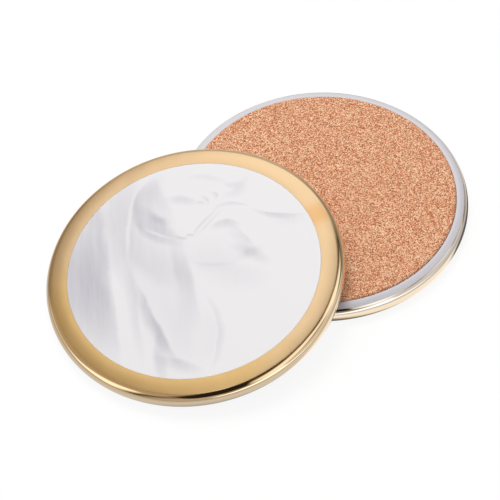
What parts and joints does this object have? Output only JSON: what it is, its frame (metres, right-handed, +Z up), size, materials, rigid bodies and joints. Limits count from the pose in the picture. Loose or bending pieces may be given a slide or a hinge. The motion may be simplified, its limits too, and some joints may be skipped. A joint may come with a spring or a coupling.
{
  "type": "drink coaster",
  "caption": "Round glazed ceramic drink coaster with a marbled face, a gold rim and a cork back, leaning face up on the rim of a matching coaster that lies face down.",
  "frame": {"origin": "middle of the turned coaster's marble face, where it lies on the table", "axes": "+Z up from the table; +X to the right and +Y away from the viewer, as in the picture; the coasters' shared middle line runs 37.5 degrees from +X towards +Y"},
  "size_m": [0.1436, 0.1335, 0.0209],
  "materials": {
    "ceramic": "gloss",
    "marble_glaze": "gloss",
    "gold": "polished",
    "glue": "satin",
    "cork": "matte"
  },
  "bodies": {
    "turned_coaster": {"turned_ceramic_body": "ceramic", "turned_marble_glaze": "marble_glaze", "turned_gold_band": "gold", "turned_glue_film": "glue", "turned_cork_pad": "cork"},
    "leaning_coaster": {"leaning_ceramic_body": "ceramic", "leaning_marble_glaze": "marble_glaze", "leaning_gold_band": "gold", "leaning_glue_film": "glue", "leaning_cork_pad": "cork"}
  },
  "joints": [
    {"name": "lift_off", "type": "slide", "parent": "turned_coaster", "child": "leaning_coaster", "axis": [0, 0, 1], "range_m": [0, 0.05]}
  ]
}
